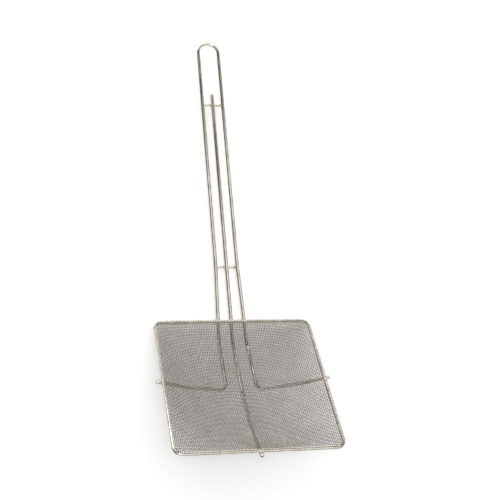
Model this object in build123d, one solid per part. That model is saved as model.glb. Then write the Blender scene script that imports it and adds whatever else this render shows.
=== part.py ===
from build123d import *
import os
from math import acos, asin, atan2, cos, degrees, hypot, radians, sin, tan

os.makedirs("parts", exist_ok=True)

# A square wire-mesh skimmer in millimetres: a dish of woven cloth on a square wire rim, with a handle of three wires.
# It is drawn with the rim level, X to the right and Y towards the handle, and laid down on its rods at the end.

# Wire sizes
rod_dia = 4.3          # handle wire and centre rod
bar_dia = 3.0          # the two cross bars
rim_dia = 3.4
weld_sink = 0.4        # how far two crossing wires melt into each other at a spot weld

# Rim and cloth
rim_span = 168.0       # across the rim, between wire centres
rim_corner = 8.5       # corner radius of the rim's centre-line
dish_depth = 18.0      # from the rim's cloth line to the middle of the dish
cloth_thickness = 1.0  # two crossing wires of the weave
cloth_overhang = 0.9   # cloth past the rim's centre-line
cloth_sink = 0.25      # how far the cloth is pressed on the rim
cloth_clearance = 0.15  # between the cloth and the rods below it
cloth_border = 3.6     # unbroken edge of the cloth inside the rim's centre-line
cloth_strand = 1.2     # each strand stands for a band of the fine weave
cloth_gaps = 15        # gaps along each side of the cloth

# Handle, measured up its slope from the rear of the rim
handle_rise = 25.5     # degrees above the rim's plane
bend_reach = 24.5      # bend of the rods, below the dish
bend_radius = 25.0
lower_bar_reach = 64.7
upper_bar_reach = 267.1
flare_reach = 68.0     # where the legs start to spread
flare_radius = 60.0
rod_past_bar = 13.2    # free end of the centre rod past the upper bar
loop_reach = 348.8     # top of the hanging loop, at the wire's centre
leg_spread = 24.1      # between the legs' centres up the handle
bend_spread = 30.4     # the same at the bend
elbow_spread = 32.4    # the same at the elbows
elbow_setback = 5.5    # elbows behind the middle of the dish
elbow_radius = 7.0
elbow_straight = 1.0   # straight wire after each elbow
bar_overhang = 1.5     # cross bars past the legs' centres

# Wire ends
arm_overhang = 5.6     # side arms past the point where they cross the rim
front_overhang = 4.4   # front end of the centre rod past its crossing
rod_end_round = 1.7    # free end of the centre rod
cut_end_bevel = 0.5    # cropped ends

rod_radius = rod_dia / 2
bar_radius = bar_dia / 2
rim_radius = rim_dia / 2
rim_half = rim_span / 2
rise = radians(handle_rise)
rod_drop = rim_radius + rod_radius - weld_sink
bar_drop = rod_radius + bar_radius - weld_sink
rim_slope = atan2(2 * dish_depth, rim_half)
cloth_edge = rim_radius / cos(rim_slope) - cloth_sink


def cloth_underside(x, y):
    """Height of the cloth's lower side over the rim's plane."""
    return cloth_edge - dish_depth * (1 - (x / rim_half) ** 2) * (1 - (y / rim_half) ** 2)


def cradle_radius(low):
    """Radius of a rod's arc that is lowest at the middle and passes under the rim wire on both sides."""
    return (rim_half**2 + low**2 - rod_drop**2) / (-2 * (low + rod_drop))


def cradle_point(radius, low, angle):
    """Point on such an arc, as distance from the middle and height, at an angle from its lowest point."""
    return radius * sin(angle), low + radius * (1 - cos(angle))


def tangent_corner(radius, low, first, last):
    """Corner of the two tangents that meet the arc at two angles."""
    middle = (first + last) / 2
    reach = radius / cos((last - first) / 2)
    return reach * sin(middle), low + radius - reach * cos(middle)


def on_handle(reach, side=0, drop=0):
    """Point on the plane of the handle, measured up its slope, sideways and down square to it."""
    y = rim_half + reach * cos(rise) + (rod_drop + drop) * sin(rise)
    z = reach * sin(rise) - (rod_drop + drop) * cos(rise)
    return Vector(side, y, z)


def round_wire(path, diameter):
    """Round wire along a path."""
    section = Plane(origin=path @ 0, z_dir=path % 0) * Circle(diameter / 2)
    return sweep(section, path=path)


def end_edge(wire, axis, place):
    """Edge of the wire end that lies first or last along an axis."""
    return wire.edges().filter_by(GeomType.CIRCLE).sort_by(axis)[place]


def make_centre_rod():
    """Straight down the handle, bent below the dish, then one long curve forward under the front of the rim."""
    low = cloth_underside(0, 0) - cloth_clearance - rod_radius
    radius = cradle_radius(low)
    front = -atan2(rim_half, low + radius)
    bend = on_handle(-bend_reach)
    to_bend = hypot(bend.Y, low + radius - bend.Z)
    back = atan2(bend.Y, low + radius - bend.Z) - acos(radius / to_bend)
    crossing_y, crossing_z = cradle_point(radius, low, front)
    corner_y, corner_z = tangent_corner(radius, low, front, back)
    path = FilletPolyline(
        (0, crossing_y - front_overhang * cos(front), crossing_z - front_overhang * sin(front)),
        (0, corner_y, corner_z),
        bend,
        on_handle(upper_bar_reach + rod_past_bar),
        radius=[radius, bend_radius],
    )
    rod = round_wire(path, rod_dia)
    rod = chamfer(end_edge(rod, Axis.Y, 0), cut_end_bevel)
    return fillet(end_edge(rod, Axis.Y, -1), rod_end_round)


def make_handle_wire():
    """One wire: side arm, elbow, leg, hanging loop, leg, elbow, side arm. Half of it is swept and mirrored."""
    low = cloth_underside(0, elbow_setback) - cloth_clearance - rod_radius
    radius = cradle_radius(low)
    elbow_x = elbow_spread / 2
    arc_start = asin((elbow_x + elbow_radius + elbow_straight) / radius)
    arc_end = atan2(rim_half, low + radius)
    start_x, start_z = cradle_point(radius, low, arc_start)
    elbow_z = start_z - (start_x - elbow_x) * tan(arc_start)
    corner_x, corner_z = tangent_corner(radius, low, arc_start, arc_end)
    crossing_x, crossing_z = cradle_point(radius, low, arc_end)
    end_x = crossing_x + arm_overhang * cos(arc_end)
    end_z = crossing_z + arm_overhang * sin(arc_end)
    loop_radius = leg_spread / 2
    loop_centre = loop_reach - loop_radius
    eighth = radians(45)
    loop = ThreePointArc(
        on_handle(loop_reach),
        on_handle(loop_centre + loop_radius * cos(eighth), loop_radius * sin(eighth)),
        on_handle(loop_centre, loop_radius),
    )
    leg = FilletPolyline(
        on_handle(loop_centre, loop_radius),
        on_handle(flare_reach, loop_radius),
        on_handle(-bend_reach, bend_spread / 2),
        (elbow_x, elbow_setback, elbow_z),
        (corner_x, elbow_setback, corner_z),
        (end_x, elbow_setback, end_z),
        radius=[flare_radius, bend_radius, elbow_radius, radius],
    )
    path = Wire(loop.edges() + leg.edges())
    half = round_wire(path, rod_dia)
    half = chamfer(end_edge(half, Axis.X, -1), cut_end_bevel)
    return half + mirror(half, Plane.YZ)


def make_cross_bar(reach):
    """Short wire across the back of the three handle wires, before the seats are cut."""
    start = on_handle(reach, leg_spread / 2 + bar_overhang, bar_drop)
    end = on_handle(reach, -leg_spread / 2 - bar_overhang, bar_drop)
    bar = round_wire(Line(start, end), bar_dia)
    return chamfer([end_edge(bar, Axis.X, 0), end_edge(bar, Axis.X, -1)], cut_end_bevel)


def make_rim():
    """Round wire bent to a square with rounded corners."""
    path = RectangleRounded(rim_span, rim_span, rim_corner).wire()
    return round_wire(path, rim_dia)


def make_cloth(rim):
    """Dished cloth as one holed sheet, seated on the rim. The middle of a square patch sinks, its edges stay straight."""
    reach = rim_half + cloth_overhang
    edge_share = 1 - (reach / rim_half) ** 2
    control_shares = (edge_share, 2 - edge_share, edge_share)
    places = (-reach, 0, reach)
    points = [
        [(x, y, cloth_edge - dish_depth * u * v) for y, v in zip(places, control_shares)]
        for x, u in zip(places, control_shares)
    ]
    dish = Face.make_bezier_surface(points)
    outline = RectangleRounded(2 * reach, 2 * reach, rim_corner + cloth_overhang)
    skin = dish & extrude(Pos(0, 0, -rim_half) * outline, amount=rim_span)
    sheet = extrude(skin.faces()[0], amount=cloth_thickness, dir=(0, 0, 1)) - rim
    field = 2 * (rim_half - cloth_border)
    pitch = (field + cloth_strand) / cloth_gaps
    gap = pitch - cloth_strand
    gaps = GridLocations(pitch, pitch, cloth_gaps, cloth_gaps) * Rectangle(gap, gap)
    return sheet & extrude(Pos(0, 0, -rim_half) * (outline - gaps), amount=rim_span)


def lay_down(pieces):
    """Turn the level skimmer until its bends and its lower cross bar stand on the table, and centre it."""
    bend = on_handle(-bend_reach)
    inner_slope = atan2(bend.Z - cloth_underside(0, 0) + rod_radius, bend.Y)
    tangent = bend_radius * tan((rise - inner_slope) / 2)
    arc_centre = on_handle(tangent - bend_reach, 0, -bend_radius)
    bar_centre = on_handle(lower_bar_reach, 0, bar_drop)
    span = bar_centre - arc_centre
    turn = atan2(span.Z, span.Y) + asin((bend_radius + rod_radius - bar_radius) / hypot(span.Y, span.Z))
    turned = {name: piece.rotate(Axis.X, -degrees(turn)) for name, piece in pieces.items()}
    box = Compound(list(turned.values())).bounding_box()
    shift = Vector(-box.center().X, -box.center().Y, -box.min.Z)
    return {name: piece.translate(shift) for name, piece in turned.items()}


centre_rod = make_centre_rod()
handle_wire = make_handle_wire()
rim = make_rim()
pieces = {
    "handle_wire": handle_wire,
    "centre_rod": centre_rod,
    "upper_cross_bar": make_cross_bar(upper_bar_reach) - handle_wire - centre_rod,
    "lower_cross_bar": make_cross_bar(lower_bar_reach) - handle_wire - centre_rod,
    "rim_wire": rim - handle_wire - centre_rod,
    "mesh_dish": make_cloth(rim),
}
for name, piece in lay_down(pieces).items():
    export_step(piece, f"parts/{name}.step")
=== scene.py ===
import math
import random

import bmesh
import bpy
from mathutils import Matrix, Vector


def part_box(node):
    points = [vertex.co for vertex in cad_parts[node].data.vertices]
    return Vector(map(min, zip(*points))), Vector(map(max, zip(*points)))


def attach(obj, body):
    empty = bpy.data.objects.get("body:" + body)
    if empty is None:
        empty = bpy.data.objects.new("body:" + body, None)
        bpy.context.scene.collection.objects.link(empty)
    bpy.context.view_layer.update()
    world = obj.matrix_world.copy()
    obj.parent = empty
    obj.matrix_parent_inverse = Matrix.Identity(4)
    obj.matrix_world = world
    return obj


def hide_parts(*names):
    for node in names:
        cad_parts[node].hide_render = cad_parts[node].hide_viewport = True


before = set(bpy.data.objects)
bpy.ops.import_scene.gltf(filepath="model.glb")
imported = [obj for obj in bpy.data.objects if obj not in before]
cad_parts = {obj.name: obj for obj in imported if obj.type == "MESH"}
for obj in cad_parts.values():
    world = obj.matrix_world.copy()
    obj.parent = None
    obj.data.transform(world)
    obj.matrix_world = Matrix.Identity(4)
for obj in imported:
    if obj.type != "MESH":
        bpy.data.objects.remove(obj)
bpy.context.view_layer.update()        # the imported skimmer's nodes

mm = 0.001
random.seed(14)


# The dish's own frame: rim level, X right, Y to the handle, origin at the rim's middle
rimWire = {"diameter": 3.4, "corner": 8.5}   # millimetres, corner radius at the wire's centre

rimLow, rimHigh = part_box("rim_wire")
rimSize = rimHigh - rimLow
rimDiameter = rimWire["diameter"] * mm
rimHalf = (rimSize.x - rimDiameter) / 2
tilt = math.atan2(rimSize.z - rimDiameter, rimSize.y - rimDiameter)
dishFrame = Matrix.Translation((rimLow + rimHigh) / 2) @ Matrix.Rotation(-tilt, 4, "X")
print("frame: rim", round(rimHalf * 2 / mm, 2), "mm across, tilted", round(math.degrees(tilt), 2), "degrees")


def finishPiece(obj, slotName, *nodes):
    for face in obj.data.polygons:
        face.use_smooth = True
    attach(obj, "root")
    if nodes:
        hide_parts(*nodes)
    return obj


def linkMesh(bm, mesh):
    # writes the bmesh into the mesh and puts it in the scene under the mesh's name
    bm.to_mesh(mesh)
    bm.free()
    obj = bpy.data.objects.new(mesh.name, mesh)
    bpy.context.scene.collection.objects.link(obj)
    return obj


def wiresFromCurve(name, lines, heights, diameter, rings):
    # one round wire along each line of points, all in one mesh that keeps each point's height in the weave
    curve = bpy.data.curves.new(name, "CURVE")
    curve.dimensions = "3D"
    curve.bevel_depth = diameter / 2
    curve.bevel_resolution = rings
    for line in lines:
        spline = curve.splines.new("POLY")
        spline.points.add(len(line) - 1)
        for point, place in zip(spline.points, line):
            point.co = (*place, 1)
    holder = bpy.data.objects.new(name, curve)
    mesh = bpy.data.meshes.new_from_object(holder)
    mesh.name = name
    bpy.data.objects.remove(holder)
    bpy.data.curves.remove(curve)
    around = len(mesh.vertices) // len(heights)
    raised = mesh.attributes.new("weaveHeight", "FLOAT", "POINT")
    raised.data.foreach_set("value", [height for height in heights for _ in range(around)])
    bm = bmesh.new()
    bm.from_mesh(mesh)
    bmesh.ops.holes_fill(bm, edges=[edge for edge in bm.edges if edge.is_boundary], sides=around)
    bmesh.ops.recalc_face_normals(bm, faces=bm.faces)
    return linkMesh(bm, mesh)


# Wires that the cloth lies on and is welded to

rods = {
    # millimetres
    "elbowSetback": 5.5,     # arms behind the middle of the dish
    "legPlace": 15.5,        # legs beside the middle under the dish
    "legAtRim": 14.37,       # the same under the rear of the rim
    "legAtBars": 12.05,      # the same at the cross bars
    "weldSink": 0.4,         # how far two crossing wires melt into each other
    "mergeWithin": 0.001,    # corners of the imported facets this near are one
    "roundEdge": 35,         # degrees between faces that are still drawn as one round surface
}
beads = {
    "size": (3.4, 3.4, 1.5),  # squeezed-out weld metal at a crossing, in millimetres
    "around": 20,             # faces round a bead, and from its top to its bottom
    "along": 10,
}


def smoothCopy(nodeName, name):
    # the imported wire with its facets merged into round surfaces
    bm = bmesh.new()
    bm.from_mesh(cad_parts[nodeName].data)
    bmesh.ops.remove_doubles(bm, verts=bm.verts, dist=rods["mergeWithin"] * mm)
    obj = finishPiece(linkMesh(bm, bpy.data.meshes.new(name)), "plated_wire", nodeName)
    obj.data.set_sharp_from_angle(angle=math.radians(rods["roundEdge"]))
    return obj


def weldPlaces():
    # contact points of crossing wires, with the direction square to both wires
    dishDown = (dishFrame.to_3x3() @ Vector((0, 0, -1))).normalized()
    reach = (rimWire["diameter"] - rods["weldSink"]) / 2 * mm
    setback = rods["elbowSetback"] * mm
    legAtRim = rods["legAtRim"] * mm
    for x, y in ((0, -rimHalf), (0, rimHalf), (legAtRim, rimHalf), (-legAtRim, rimHalf),
                 (rimHalf, setback), (-rimHalf, setback)):
        yield dishFrame @ Vector((x, y, -reach)), dishDown
    for bar in ("upper_cross_bar", "lower_cross_bar"):
        low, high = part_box(bar)
        middle = (low + high) / 2
        barReach = (high.y - low.y) / 2 - rods["weldSink"] / 2 * mm
        for side in (-1, 0, 1):
            yield middle + Vector((side * rods["legAtBars"] * mm, 0, barReach)), Vector((0, 0, 1))


def makeWeldBeads():
    bm = bmesh.new()
    for place, square in weldPlaces():
        turn = square.to_track_quat("Z", "Y").to_matrix().to_4x4()
        size = Matrix.Diagonal([length / 2 * mm for length in beads["size"]] + [1])
        bmesh.ops.create_uvsphere(bm, u_segments=beads["around"], v_segments=beads["along"], radius=1,
                                  matrix=Matrix.Translation(place) @ turn @ size)
    return finishPiece(linkMesh(bm, bpy.data.meshes.new("weldBeads")), "plated_wire")


wirePieces = [smoothCopy(node, name) for node, name in (
    ("handle_wire", "handleWire"), ("centre_rod", "centreRod"), ("rim_wire", "rimWire"),
    ("upper_cross_bar", "upperCrossBar"), ("lower_cross_bar", "lowerCrossBar"))]
wirePieces.append(makeWeldBeads())
print("wires:", len(wirePieces), "pieces,", sum(len(p.data.polygons) for p in wirePieces), "faces")


# Woven cloth

cloth = {
    # millimetres
    "pitch": 1.814,          # from wire to wire, 14 to the inch
    "wire": 0.70,            # diameter
    "crimp": 0.34,           # how far a wire swings off the middle of the cloth
    "rimCrimp": 0.20,        # the same where the cloth is pressed on the rim
    "pressed": 6.8,          # how far in from the rim's middle it is pressed
    "depth": 18.0,           # of the dish
    "rimLine": 2.3,          # height of the cloth's middle over the rim's centre
    "sag": 1.6,              # between the rods that carry it
    "sagReach": 6.0,         # how far from a rod half of the sag is reached
    "shadeFreeRim": 1.5,           # the painted shade is left off this far in from the rim's middle, so the cloth there stays bright
    "steps": 3,              # straight pieces from one crossing to the next
    "rings": 1,              # roundness of the wire
    "endGap": 0.2,           # least distance from a cut end to the next point, as a share of one piece
    # how far round the rim each side is trimmed, in degrees outward from the rim's top, at its two ends
    "trims": {"left": (-6, 18), "right": (52, 46), "front": (-8, 6), "rear": (44, 38)},
    "trimScatter": 5,        # degrees either way, from wire to wire
}


def clothShare(place):
    # how much of the dish's depth is reached this far off its middle, from 1 down to 0 at the rim
    return 1 - (place / rimHalf) ** 2


def pullFrom(distance):
    # how much of the sag is reached at this distance from a rod
    reach = cloth["sagReach"] * mm
    return distance**2 / (distance**2 + reach**2)


def sagAt(x, y):
    # the cloth lies on the centre rod and the two arms, behind them also on the legs, and sags between
    setback = rods["elbowSetback"] * mm
    share = pullFrom(x) * pullFrom(y - setback)
    if y > setback:
        share *= pullFrom(abs(x) - rods["legPlace"] * mm)
    return cloth["sag"] * mm * share * clothShare(x) * clothShare(y)


def rimReach(across):
    # where a wire that lies this far off the middle crosses the rim, with the rim's rounded corners
    corner = rimWire["corner"] * mm
    past = abs(across) - (rimHalf - corner)
    if past <= 0:
        return rimHalf
    return rimHalf - corner + math.sqrt(max(corner**2 - past**2, 0))


def rimTurn(across):
    # where this wire crosses the rim, its lean there, the radius of its turn and where the turn starts
    reach = rimReach(across)
    slope = 2 * cloth["depth"] * mm * reach / rimHalf**2 * clothShare(min(abs(across), rimHalf))
    lean = math.atan(slope)
    radius = cloth["rimLine"] * mm * math.cos(lean)
    return reach, lean, radius, reach - radius * math.sin(lean)


def wrap(laid, across):
    # place, drop and slope of a point laid this far along the cloth, where the cloth turns over the rim
    reach, lean, radius, start = rimTurn(across)
    if abs(laid) <= start:
        return laid, 0, None
    turned = (abs(laid) - start) / radius - lean
    place = reach + radius * math.sin(turned)
    drop = radius * (math.cos(turned) - math.cos(lean))
    return math.copysign(place, laid), drop, math.copysign(math.tan(turned), laid)


def clothPoint(laidX, laidY):
    # point on the middle of the cloth and the direction square to it
    depth = cloth["depth"] * mm
    x, dropX, turnX = wrap(laidX, laidY)
    y, dropY, turnY = wrap(laidY, laidX)
    heldX = max(-rimHalf, min(rimHalf, x))
    heldY = max(-rimHalf, min(rimHalf, y))
    z = cloth["rimLine"] * mm - depth * clothShare(heldX) * clothShare(heldY) - sagAt(heldX, heldY)
    if turnX is None:
        turnX = -2 * depth * x / rimHalf**2 * clothShare(heldY)
    if turnY is None:
        turnY = -2 * depth * y / rimHalf**2 * clothShare(heldX)
    return Vector((x, y, z + dropX + dropY)), Vector((turnX, turnY, 1)).normalized()


def laidEnd(across, side):
    # laid length at which a wire is cut off, on one side of the rim
    first, last = cloth["trims"][side]
    angle = math.radians(first + (last - first) * (across + rimHalf) / (2 * rimHalf))
    angle += math.radians(random.uniform(-cloth["trimScatter"], cloth["trimScatter"]))
    _, lean, radius, start = rimTurn(across)
    return start + radius * (lean + angle)


def wovenLine(number, alongX):
    # points of one crimped wire from end to end, and how high in the weave each lies, from -1 to 1, with the top
    # kept near the rim so that no painted shade falls there
    pitch = cloth["pitch"] * mm
    across = number * pitch
    lowSide, highSide = ("left", "right") if alongX else ("front", "rear")
    low = -laidEnd(across, lowSide)
    high = laidEnd(across, highSide)
    step = pitch / cloth["steps"]
    first = math.ceil(low / step + cloth["endGap"])
    last = math.floor(high / step - cloth["endGap"])
    laids = [low] + [k * step for k in range(first, last + 1)] + [high]
    side = -1 if alongX else 1
    if number % 2:
        side = -side
    line, heights = [], []
    for laid in laids:
        fromRim = rimHalf - max(abs(laid), abs(across))
        height = side * math.cos(math.pi * laid / pitch)
        # near the rim the height is kept at the top, which leaves the painted shade off there
        heights.append(1 if fromRim < cloth["shadeFreeRim"] * mm else height)
        crimp = (cloth["rimCrimp"] if fromRim < cloth["pressed"] * mm else cloth["crimp"]) * mm
        place, square = clothPoint(laid, across) if alongX else clothPoint(across, laid)
        place += square * (crimp * height)
        line.append(dishFrame @ place)
    return line, heights


def makeCloth():
    count = round(rimHalf / (cloth["pitch"] * mm))
    pieces = []
    for alongX, name in ((True, "clothWeft"), (False, "clothWarp")):
        # two pieces each way, so that none has too many faces
        for part, wanted in (("Low", range(-count, 0)), ("High", range(count + 1))):
            wires = [wovenLine(n, alongX) for n in wanted]
            lines = [line for line, _ in wires]
            heights = [height for _, wireHeights in wires for height in wireHeights]
            pieces.append(wiresFromCurve(name + part, lines, heights, cloth["wire"] * mm, cloth["rings"]))
    for piece in pieces:
        finishPiece(piece, "wire_cloth", "mesh_dish")
    print("cloth:", 2 * (2 * count + 1), "wires,", sum(len(p.data.polygons) for p in pieces), "faces")
    return pieces


clothPieces = makeCloth()


# Materials

def hexColour(text):
    # sRGB hex to linear
    values = [int(text[k:k + 2], 16) / 255 for k in (1, 3, 5)]
    return [v / 12.92 if v <= 0.04045 else ((v + 0.055) / 1.055) ** 2.4 for v in values] + [1]


def addNode(tree, kind, settings=None, inputs=None):
    node = tree.nodes.new(kind)
    for key, value in (settings or {}).items():
        setattr(node, key, value)
    for key, value in (inputs or {}).items():
        if isinstance(value, bpy.types.NodeSocket):
            tree.links.new(value, node.inputs[key])
        else:
            node.inputs[key].default_value = value
    return node


def newMaterial(name):
    material = bpy.data.materials.new(name)
    material.use_nodes = True
    material.node_tree.nodes.clear()
    return material, material.node_tree


def setRamp(ramp, finish):
    # from the dull colour to the bright one over the finish's span of noise
    ends = zip(ramp.color_ramp.elements, finish["patchSpan"], (finish["dull"], finish["colour"]))
    for end, position, colour in ends:
        end.position = position
        end.color = hexColour(colour)


# bright nickel-chrome plating on drawn steel wire: mirror-like, with faint drawing marks and dull spots
platedSteel = {
    "colour": "#e0dbd2", "dull": "#ccc6bb",
    "roughness": (0.10, 0.24),     # bright and dull spots
    "roughnessSpan": (0.7, 0.3),   # values of the noise at these two
    "patch": 9.0,                  # size of the spots in millimetres
    "patchSpan": (0.35, 0.6),      # values of the noise where the colour is dull and where it is bright
    "grain": 0.5,                  # drawing marks, millimetres apart
    "grainDepth": 0.02,            # millimetres
    "grainShare": 0.08,            # how much of that depth shows
}


def makePlatedSteel():
    material, tree = newMaterial("nickelChromePlatedWire")
    place = addNode(tree, "ShaderNodeTexCoord")
    patch = addNode(tree, "ShaderNodeTexNoise", inputs={
        "Vector": place.outputs["Object"], "Scale": 1 / (platedSteel["patch"] * mm), "Detail": 3.0})
    tint = addNode(tree, "ShaderNodeValToRGB", inputs={"Fac": patch.outputs["Fac"]})
    setRamp(tint, platedSteel)
    brightest, dullest = platedSteel["roughness"]
    rough = addNode(tree, "ShaderNodeMapRange", inputs={
        "Value": patch.outputs["Fac"], "From Min": platedSteel["roughnessSpan"][0],
        "From Max": platedSteel["roughnessSpan"][1], "To Min": brightest, "To Max": dullest})
    grain = addNode(tree, "ShaderNodeTexNoise", inputs={
        "Vector": place.outputs["Object"], "Scale": 1 / (platedSteel["grain"] * mm), "Detail": 2.0})
    bump = addNode(tree, "ShaderNodeBump", inputs={
        "Height": grain.outputs["Fac"], "Strength": platedSteel["grainShare"],
        "Distance": platedSteel["grainDepth"] * mm})
    metal = addNode(tree, "ShaderNodeBsdfPrincipled", inputs={
        "Base Color": tint.outputs["Color"], "Metallic": 1.0, "Roughness": rough.outputs["Result"],
        "Normal": bump.outputs["Normal"]})
    addNode(tree, "ShaderNodeOutputMaterial", inputs={"Surface": metal.outputs["BSDF"]})
    return material


# nickel-chrome plated woven cloth: painted highlights on the knuckle tops and painted shade on every side
# where the wires dive between them, which is a guess that lets the weave show at this size
clothSteel = {
    # the third colour is painted shade, for where the wires dive between others
    "colour": "#efe9e0", "dull": "#d6cfc5", "paintedShade": "#3f3a35",
    "roughness": 0.13,
    "patch": 14.0,                 # size of the dull spots in millimetres
    "patchSpan": (0.35, 0.65),
    "highlightTo": 0.95,              # height in the weave down to which the painted highlight reaches
    "darkFrom": 0.0,               # and from which down the painted shade is darkest
}


def makeClothSteel():
    material, tree = newMaterial("platedWovenWire")
    place = addNode(tree, "ShaderNodeTexCoord")
    patch = addNode(tree, "ShaderNodeTexNoise", inputs={
        "Vector": place.outputs["Object"], "Scale": 1 / (clothSteel["patch"] * mm), "Detail": 4.0})
    tint = addNode(tree, "ShaderNodeValToRGB", inputs={"Fac": patch.outputs["Fac"]})
    setRamp(tint, clothSteel)
    height = addNode(tree, "ShaderNodeAttribute", {"attribute_name": "weaveHeight"})
    # painted highlight at the knuckle tops, going over into painted shade lower in the weave
    share = addNode(tree, "ShaderNodeMapRange", inputs={
        "Value": height.outputs["Fac"], "From Min": clothSteel["highlightTo"], "From Max": clothSteel["darkFrom"]})
    # sockets 0, 6 and 7 of a colour mix are its factor and its two colours, and output 2 is the result
    shadedTint = addNode(tree, "ShaderNodeMix", {"data_type": "RGBA"}, {
        0: share.outputs["Result"], 6: tint.outputs["Color"], 7: hexColour(clothSteel["paintedShade"])})
    metal = addNode(tree, "ShaderNodeBsdfPrincipled", inputs={
        "Base Color": shadedTint.outputs[2], "Metallic": 1.0, "Roughness": clothSteel["roughness"]})
    addNode(tree, "ShaderNodeOutputMaterial", inputs={"Surface": metal.outputs["BSDF"]})
    return material


plated = makePlatedSteel()
woven = makeClothSteel()
for piece in clothPieces:
    piece.data.materials.append(woven)
for piece in wirePieces:
    piece.data.materials.append(plated)
print("materials: plated wire, woven wire")


# Stage: a pale board under a white ceiling, a white sweep behind it and cards round it that the camera doesn't see

studio = {
    "boardColour": "#f6f6f5",
    "boardRough": 0.9, "boardGloss": 0.1,
    "boardGlow": 0.25,        # lifts the board to white for the camera, in metal and through glass, shadows stay
    "boardSize": 6.0,         # metres
    "ceiling": 1.0,           # strength of the white world above the cards
    "cardWidth": 3.2,         # metres
}

lamps = {
    # metres from the middle of the board, metres across and radiance
    "cameraLamp": {"place": (-0.35, -0.55, 1.5), "size": (0.55, 0.35), "radiance": 8.0},
    "rearStrip": {"place": (0.0, 1.35, 1.05), "size": (1.6, 0.2), "radiance": 5.0},
}

cards = {
    # side of the board it stands on, how far off and how high in metres, and how light it is from 0 to 1
    "rearSweep": {"side": (0, 1), "reach": 1.55, "height": 1.65, "grey": 0.9},
    "rearCard": {"side": (0, 1), "reach": 1.6, "height": 2.85, "grey": 0.02},
    "leftCard": {"side": (-1, 0), "reach": 1.6, "height": 1.9, "grey": 0.01},
    "rightCard": {"side": (1, 0), "reach": 1.6, "height": 0.95, "grey": 0.08},
    "frontCard": {"side": (0, -1), "reach": 1.6, "height": 1.0, "grey": 0.2},
}


def gridObject(name, width, height):
    bm = bmesh.new()
    bmesh.ops.create_grid(bm, x_segments=1, y_segments=1, size=0.5)
    bmesh.ops.scale(bm, verts=bm.verts, vec=(width, height, 1))
    return linkMesh(bm, bpy.data.meshes.new(name))


def seenShare(tree):
    # 1 for what the camera sees straight, in metal or through glass, and 0 for the light on the object
    light = addNode(tree, "ShaderNodeLightPath")
    shown = addNode(tree, "ShaderNodeMath", {"operation": "MAXIMUM"},
                    {0: light.outputs["Is Camera Ray"], 1: light.outputs["Is Glossy Ray"]})
    shownAll = addNode(tree, "ShaderNodeMath", {"operation": "MAXIMUM"},
                       {0: shown.outputs[0], 1: light.outputs["Is Transmission Ray"]})
    return shownAll.outputs[0]


def makeBoard():
    # painted board, matt white
    board = gridObject("board", studio["boardSize"], studio["boardSize"])
    material, tree = newMaterial("mattWhiteBoard")
    paint = addNode(tree, "ShaderNodeBsdfPrincipled", inputs={
        "Base Color": hexColour(studio["boardColour"]), "Roughness": studio["boardRough"],
        "Specular IOR Level": studio["boardGloss"]})
    lift = addNode(tree, "ShaderNodeMath", {"operation": "MULTIPLY"},
                   {0: seenShare(tree), 1: studio["boardGlow"]})
    glow = addNode(tree, "ShaderNodeEmission", inputs={"Color": (1, 1, 1, 1), "Strength": lift.outputs[0]})
    both = addNode(tree, "ShaderNodeAddShader", inputs={
        0: paint.outputs["BSDF"], 1: glow.outputs["Emission"]})
    addNode(tree, "ShaderNodeOutputMaterial", inputs={"Surface": both.outputs["Shader"]})
    board.data.materials.append(material)


def makeCard(name, side, reach, height, grey):
    card = gridObject(name, studio["cardWidth"], height)
    card.location = (side[0] * reach, side[1] * reach, height / 2)
    card.rotation_euler = Vector((-side[0], -side[1], 0)).to_track_quat("Z", "Y").to_euler()
    material, tree = newMaterial(name + "Felt")
    felt = addNode(tree, "ShaderNodeEmission", inputs={"Color": (grey, grey, grey, 1), "Strength": 1.0})
    addNode(tree, "ShaderNodeOutputMaterial", inputs={"Surface": felt.outputs["Emission"]})
    card.data.materials.append(material)
    card.visible_camera = False


def makeCeiling():
    world = bpy.data.worlds.new("ceiling")
    bpy.context.scene.world = world
    world.use_nodes = True
    world.node_tree.nodes.clear()
    tree = world.node_tree
    sky = addNode(tree, "ShaderNodeBackground", inputs={"Color": (1, 1, 1, 1), "Strength": studio["ceiling"]})
    addNode(tree, "ShaderNodeOutputWorld", inputs={"Surface": sky.outputs["Background"]})


def addLamp(name, place, size, radiance):
    light = bpy.data.lights.new(name, "AREA")
    light.shape = "RECTANGLE"
    light.size, light.size_y = size
    light.energy = radiance * math.pi * size[0] * size[1]
    lamp = bpy.data.objects.new(name, light)
    lamp.location = place
    lamp.rotation_euler = Vector(place).to_track_quat("Z", "Y").to_euler()
    lamp.visible_camera = False
    bpy.context.scene.collection.objects.link(lamp)


makeBoard()
makeCeiling()
for name, lamp in lamps.items():
    addLamp(name, **lamp)
for name, card in cards.items():
    makeCard(name, **card)
print("stage: board, ceiling,", len(lamps), "lamps,", len(cards), "cards")


# Camera at the photograph's place, in the dish's frame

camera = {
    "place": (-0.24887, -0.62751, 0.75888),   # metres
    "forward": (0.25046781, 0.38799465, -0.88697577),
    "up": (-0.00491977, 0.91667732, 0.3995979),
    "lens": 72.0, "sensor": 36.0,             # millimetres
    "nearest": 0.05,                          # metres, nothing nearer is drawn
}


def makeCamera():
    data = bpy.data.cameras.new("camera")
    data.lens = camera["lens"]
    data.sensor_width = camera["sensor"]
    data.clip_start = camera["nearest"]
    obj = bpy.data.objects.new("camera", data)
    bpy.context.scene.collection.objects.link(obj)
    back = -Vector(camera["forward"])
    up = Vector(camera["up"])
    right = up.cross(back)
    turn = Matrix((right, up, back)).transposed().to_4x4()
    obj.matrix_world = Matrix.Translation(dishFrame @ Vector(camera["place"])) @ turn
    bpy.context.scene.camera = obj


makeCamera()
bpy.context.scene.view_settings.view_transform = "Standard"
print("camera: placed")

bpy.context.view_layer.update()
